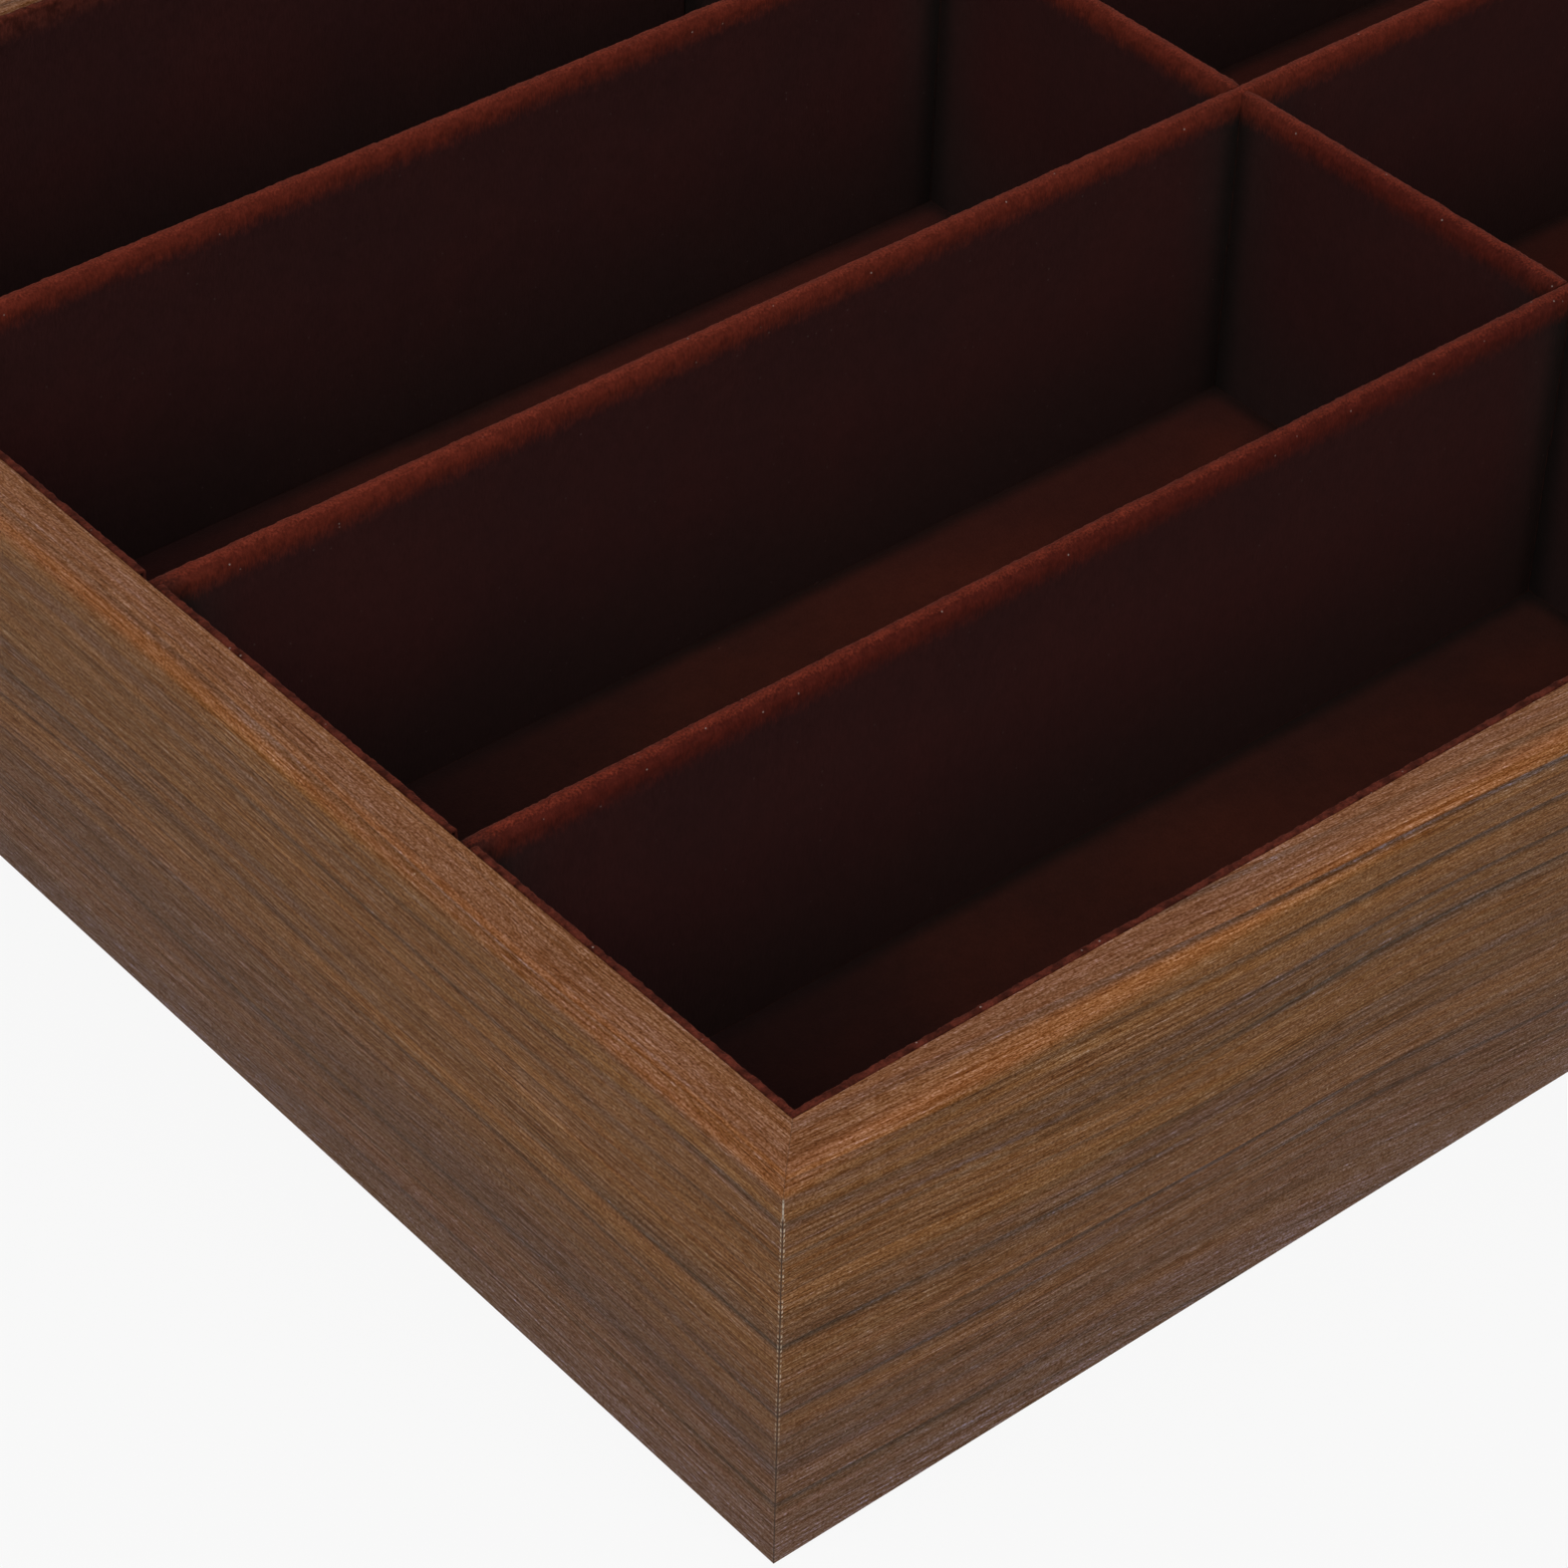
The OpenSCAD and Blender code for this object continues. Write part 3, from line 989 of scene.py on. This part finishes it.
# %% [markdown]
# ## Divider covers
# Each divider is a thin board in a velvet sleeve: up one face, over a round top and down the other. The
# long covers are slit from below and the cross cover from above, where the boards halve into each other.
# The fold is fuzzy and a little wavy, and where the cross cover is slit, the ends of its fold lean over the
# long dividers' folds, so that no gap shows at a crossing. A cloth simulation could drape them, but glued
# cloth follows its board.

# %% Sleeve profile
cover_t = 0.6
divider_t = 3.4
sleeve_r = divider_t / 2
lap_height = 33.75
lap_play = 0.3
pile_gap = 0.06
lap_half = sleeve_r + pile_gap
above_fold = 100.0
along_step = 0.5
face_step = 5.0
near_step = 1.0
fold_zone = 6
arc_steps = 14


def sleeve_profile(bottom, top, marks):
    """Points (side, height, out sideways, out upwards) from one bottom edge over the fold to the other."""
    bend = top - sleeve_r
    zone = bend - fold_zone
    heights = steps(bottom, zone, face_step, by_edges(bottom, *marks)) + steps(zone, bend, near_step)[1:]
    front = [(-sleeve_r, z, -1.0, 0.0) for z in heights]
    angles = [math.pi * i / arc_steps for i in range(1, arc_steps)]
    turns = [(-math.cos(a), math.sin(a)) for a in angles]
    fold = [(sleeve_r * out, bend + sleeve_r * rise, out, rise) for out, rise in turns]
    back = [(sleeve_r, z, 1.0, 0.0) for z in reversed(heights)]
    return front + fold + back


print("sleeves", divider_t, "mm wide, halved at", lap_height, "mm")

# %% Divider covers
fold_fuzz = 0.14
face_fuzz = 0.03
fuzz_spot = 0.7
fuzz_in = 0.6
tuft_spot = 3.0
tuft_part = 0.6
side_stretch = 3
fold_ramp = 5
wave = 0.10
wave_length = 38
end_dip = 0.10
end_reach = 1.5
end_lean = 0.8
end_narrow = 0.06


def divider_cover(name, node, axis, middle, cuts, cut_from, cut_to, seed):
    """A velvet sleeve along X (axis 0) or Y (axis 1), cut open at each of the cuts between two heights."""
    low, high = (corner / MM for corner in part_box(node))
    top, start, end = high.z, low[axis], high[axis]
    marks = [edge for cut in cuts for edge in (cut - lap_half, cut + lap_half)]
    places = steps(start, end, along_step, by_edges(start, end, *marks))
    profile = sleeve_profile(low.z, top, (cut_from, cut_to))
    ends = [start, end]
    leaning = {}
    if cut_to > top:
        ends += marks
        for cut in cuts:
            leaning[cut - lap_half] = 1
            leaning[cut + lap_half] = -1

    def point_at(along, spot):
        side, height, out_side, out_up = spot
        here = (along, side * side_stretch, height)
        near_fold = min(1.0, max(0.0, (height - top + fold_zone) / fold_ramp))
        fuzz = face_fuzz + (fold_fuzz - face_fuzz) * near_fold
        tufts = tuft_part * rough(here, tuft_spot, seed + 1)
        push = fuzz * (rough(here, fuzz_spot, seed) + tufts - fuzz_in)
        sway = wave * rough((along, 0, 0), wave_length, seed + 2) * near_fold
        end_at = min(ends, key=lambda place_at: abs(along - place_at))
        closeness = max(0.0, 1 - abs(along - end_at) / end_reach) ** 2
        over = max(0.0, 1 - (top - height) / sleeve_r) ** 2
        level = middle + (side * (1 - end_narrow * closeness) + out_side * push + sway)
        height = height + out_up * push - end_dip * closeness * near_fold
        along = along + leaning.get(end_at, 0) * end_lean * closeness * over
        return (along, level, height) if axis == 0 else (level, along, height)

    def keep(along, first, second):
        height = (first[1] + second[1]) / 2
        in_cut = any(abs(along - cut) < lap_half for cut in cuts)
        return not (in_cut and cut_from < height < cut_to)

    material = long_velvet if axis == 0 else cross_velvet
    piece = sheet_piece(name, places, profile, point_at, keep, cover_t, material)
    if axis == 0:
        piece.data.flip_normals()
    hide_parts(node)
    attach(piece, node.replace("_velvet", ""))


long_middles = []
for row in (1, 2, 3):
    node = f"long_divider_velvet_{row}"
    low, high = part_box(node)
    long_middles.append((low.y + high.y) / 2 / MM)
    divider_cover(f"long_cover_{row}", node, 0, long_middles[-1], [0.0], 0.0, lap_height, seed=10 * row)
lap_bottom = lap_height - lap_play
divider_cover("cross_cover", "cross_divider_velvet", 1, 0.0, long_middles, lap_bottom, above_fold, seed=50)

# %% [markdown]
# ## Wall linings
# A strip of velvet on card lines each wall of each compartment. On the near walls only its folded top edge
# shows, as a thin red line inside the wood. The sheet runs up the face, over the card and down behind it,
# so that the fold leaves a fine dark gap against the wood. Its edge is a little uneven, as hand-laid lining
# is. A bevelled box would do too, but with a fold as straight as a ruler.

# %% Lining profile
lining_t = 1.2
lining_cloth = 0.35
pile_out = 0.35
pile_rise = 0.5
pile_depth = lining_t + pile_out
wood_gap = 0.12
fold_r = 0.5
lining_face_step = 6.0
lining_zone = 4
lining_arc_steps = 5


def lining_profile(bottom, top):
    """Points (depth from the wall, height, out of the wall, out upwards) up the face and over the fold."""
    bend = top - fold_r
    zone = bend - lining_zone
    heights = steps(bottom, zone, lining_face_step, by_edges(bottom)) + steps(zone, bend, near_step)[1:]
    face = [(pile_depth, z, 1.0, 0.0) for z in heights]
    angles = [math.pi / 2 * i / lining_arc_steps for i in range(1, lining_arc_steps + 1)]
    turn = [(fold_r * math.cos(a), fold_r * math.sin(a), math.cos(a), math.sin(a)) for a in angles]
    front = [(pile_depth - fold_r + out, bend + up, side, rise) for out, up, side, rise in turn]
    back = [(wood_gap + fold_r - out, bend + up, -side, rise) for out, up, side, rise in reversed(turn)]
    return face + front + back + [(wood_gap, bend, -1.0, 0.0)]


print("linings", pile_depth, "mm deep with a gap of", wood_gap, "mm to the wood")

# %% Wall linings
lining_fuzz = 0.18
lining_tuft_spot = 2.5
lining_tuft_part = 0.4
lining_fuzz_in = 0.5
lining_ramp = 5
lining_wave = 0.10
lining_wave_length = 9
lining_wave_in = 0.5


def wall_lining(side, number, axis, wall_sign, seed):
    """The velvet of one lining: axis is the way it runs, wall_sign the side of the box it is on."""
    node = f"{side}_lining_velvet_{number}"
    low, high = (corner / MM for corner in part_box(node))
    start, end, other = low[axis], high[axis], 1 - axis
    wall_at = low[other] if wall_sign < 0 else high[other]
    top = high.z + pile_rise
    profile = lining_profile(low.z, top)
    places = steps(start, end, along_step, by_edges(start, end))

    def point_at(along, spot):
        deep, height, out, out_up = spot
        here = (along, deep, height)
        near_fold = min(1.0, max(0.0, (height - top + lining_ramp) / lining_ramp))
        tufts = lining_tuft_part * rough(here, lining_tuft_spot, seed + 2)
        push = lining_fuzz * near_fold * (rough(here, fuzz_spot, seed) + tufts - lining_fuzz_in)
        waves = rough((along, 0, 0), lining_wave_length, seed + 1) - lining_wave_in
        height = height + out_up * push + lining_wave * near_fold * waves
        level = wall_at - wall_sign * (deep + out * push)
        return (along, level, height) if axis == 0 else (level, along, height)

    name = f"{side}_lining_{number}"
    piece = sheet_piece(name, places, profile, point_at, keep_all, lining_cloth, lining_velvet)
    if (axis == 0) == (wall_sign > 0):
        piece.data.flip_normals()
    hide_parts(node)
    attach(piece, "box")


# Each wall: the way its linings run, the side of the box it is on, how many there are, and its first seed.
lined_walls = {
    "front": (0, -1, 2, 100),
    "back": (0, 1, 2, 120),
    "left": (1, -1, 4, 140),
    "right": (1, 1, 4, 160),
}
for side, (axis, wall_sign, count, seed) in lined_walls.items():
    for number in range(1, count + 1):
        wall_lining(side, number, axis, wall_sign, seed + 3 * number)

# %% [markdown]
# ## Velvet floor and felt underside
# One sheet of velvet lies on the floor card under all the dividers, and a thin felt covers the base panel
# below. Both are flat sheets, so a grid with a slight unevenness and a thickness is enough. The felt is
# short matted fibre, with no pile that lights up, so it reuses the pressed-fibre group with little sheen.

# %% Flat sheets
grid_step = 3.0
uneven_spot = 14
floor_uneven = 0.06


def flat_sheet(name, node, material, thickness, up, seed):
    """A flat sheet that fills a node's place, facing up or down: (piece, width, length)."""
    low, high = (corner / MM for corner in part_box(node))
    places = steps(low.x, high.x, grid_step)
    profile = steps(low.y, high.y, grid_step)
    level = high.z if up else low.z
    away = -1 if up else 1

    def point_at(x, y):
        return x, y, level + away * floor_uneven * (0.5 + 0.5 * rough((x, y, 0), uneven_spot, seed))

    piece = sheet_piece(name, places, profile, point_at, keep_all, thickness, material)
    if up:
        piece.data.flip_normals()
    return piece, (high.y - low.y) * MM, (high.x - low.x) * MM


print("flat sheets on a grid of", grid_step, "mm")

# %% Velvet floor and felt
felt_dark = (0.012, 0.009, 0.008, 1)
felt_light = (0.034, 0.026, 0.023, 1)
felt_sheen = 0.15
felt_t = 0.8

velvet_floor, width, length = flat_sheet(
    "velvet_floor", "floor_velvet", floor_pile, cover_t, up=True, seed=200)
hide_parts("floor_velvet")
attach(velvet_floor, "box")

felt_finish = fibre_finish("underside_felt_fibre", felt_dark, felt_light, fibre_size=0.7, matt=0.8)
felt_shader = next(n for n in felt_finish.node_tree.nodes if n.type == "BSDF_PRINCIPLED")
felt_shader.inputs["Sheen Weight"].default_value = felt_sheen
felt_sheet, width, length = flat_sheet(
    "felt_sheet", "underside_felt", felt_finish, felt_t, up=False, seed=210)
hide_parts("underside_felt")
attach(felt_sheet, "box")
print("floor and felt laid")
